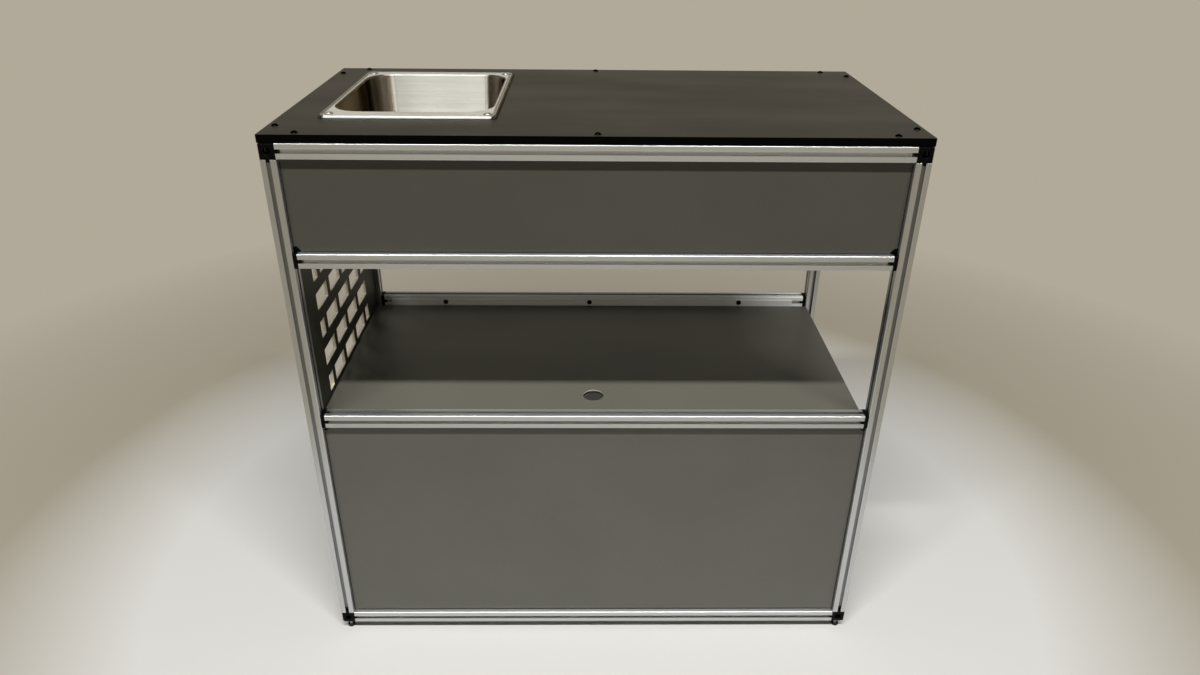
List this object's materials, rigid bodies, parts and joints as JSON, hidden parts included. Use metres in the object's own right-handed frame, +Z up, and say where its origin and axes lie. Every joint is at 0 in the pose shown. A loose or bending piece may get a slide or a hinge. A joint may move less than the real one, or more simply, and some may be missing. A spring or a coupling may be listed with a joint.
{
  "type": "camper sink cabinet",
  "caption": "Camper sink cabinet of slotted aluminium bar with laminate panels, a drop-in steel sink in a black worktop, an open bay with a pierced side, and a lid over storage.",
  "frame": {"origin": "middle of the footprint, on the surface that the feet stand on", "axes": "+X to the right, the front faces -Y, +Z up"},
  "size_m": [1.016, 0.5206, 1.0161],
  "materials": {
    "anodised_bar": "satin anodised",
    "black_cube": "satin",
    "black_screw": "black oxide",
    "zinc_steel": "zinc plated",
    "grey_laminate": "matt laminate",
    "dark_laminate": "matt laminate",
    "black_laminate": "matt laminate",
    "sink_steel": "brushed",
    "black_rubber": "matt",
    "black_plastic": "satin",
    "white_plastic": "satin",
    "stud_steel": "bright zinc",
    "foot_rubber": "matt"
  },
  "bodies": {
    "cabinet": {"post_front_left": "anodised_bar", "post_front_right": "anodised_bar", "post_rear_left": "anodised_bar", "post_rear_right": "anodised_bar", "rail_front_top": "anodised_bar", "rail_front_upper": "anodised_bar", "rail_front_shelf": "anodised_bar", "rail_front_bottom": "anodised_bar", "rail_rear_top": "anodised_bar", "rail_rear_shelf": "anodised_bar", "rail_rear_bottom": "anodised_bar", "rail_left_top": "anodised_bar", "rail_left_bottom": "anodised_bar", "rail_right_top": "anodised_bar", "rail_right_bottom": "anodised_bar", "cleat_front": "anodised_bar", "cleat_rear": "anodised_bar", "cube_bottom_front_left": "black_cube", "cube_bottom_front_right": "black_cube", "cube_bottom_rear_left": "black_cube", "cube_bottom_rear_right": "black_cube", "cube_top_front_left": "black_cube", "cube_top_front_right": "black_cube", "cube_top_rear_left": "black_cube", "cube_top_rear_right": "black_cube", "connector_upper_left": "black_cube", "connector_upper_right": "black_cube", "connector_shelf_left": "black_cube", "connector_shelf_right": "black_cube", "connector_rear_left": "black_cube", "connector_rear_right": "black_cube", "cube_screws": "black_screw", "worktop_screws": "black_screw", "cleat_screws": "black_screw", "slot_nuts": "zinc_steel", "foot_bushes": "zinc_steel", "panel_upper_front": "grey_laminate", "panel_lower_front": "grey_laminate", "floor_panel": "grey_laminate", "panel_left": "dark_laminate", "worktop": "black_laminate", "sink_basin": "sink_steel", "sink_screws": "sink_steel", "drain_strainer": "sink_steel", "sink_gasket": "black_rubber", "drain_gasket": "black_rubber", "drain_locknut": "black_plastic", "drain_tail_nut": "black_plastic", "drain_tailpiece": "white_plastic"},
    "lid": {"lid": "grey_laminate"},
    "foot_front_left": {"stud_front_left": "stud_steel", "pad_front_left": "foot_rubber"},
    "foot_front_right": {"stud_front_right": "stud_steel", "pad_front_right": "foot_rubber"},
    "foot_rear_left": {"stud_rear_left": "stud_steel", "pad_rear_left": "foot_rubber"},
    "foot_rear_right": {"stud_rear_right": "stud_steel", "pad_rear_right": "foot_rubber"}
  },
  "joints": [
    {"name": "lid_tilt", "type": "hinge", "parent": "cabinet", "child": "lid", "pos_m": [-0.00395, 0.22675, 0.4889], "axis": [-1, 0, 0], "range_deg": [0, 45]},
    {"name": "foot_front_left_level", "type": "slide", "parent": "cabinet", "child": "foot_front_left", "axis": [0, 0, 1], "range_m": [-0.004, 0.006]},
    {"name": "foot_front_right_level", "type": "slide", "parent": "cabinet", "child": "foot_front_right", "axis": [0, 0, 1], "range_m": [-0.004, 0.006]},
    {"name": "foot_rear_left_level", "type": "slide", "parent": "cabinet", "child": "foot_rear_left", "axis": [0, 0, 1], "range_m": [-0.004, 0.006]},
    {"name": "foot_rear_right_level", "type": "slide", "parent": "cabinet", "child": "foot_rear_right", "axis": [0, 0, 1], "range_m": [-0.004, 0.006]}
  ]
}
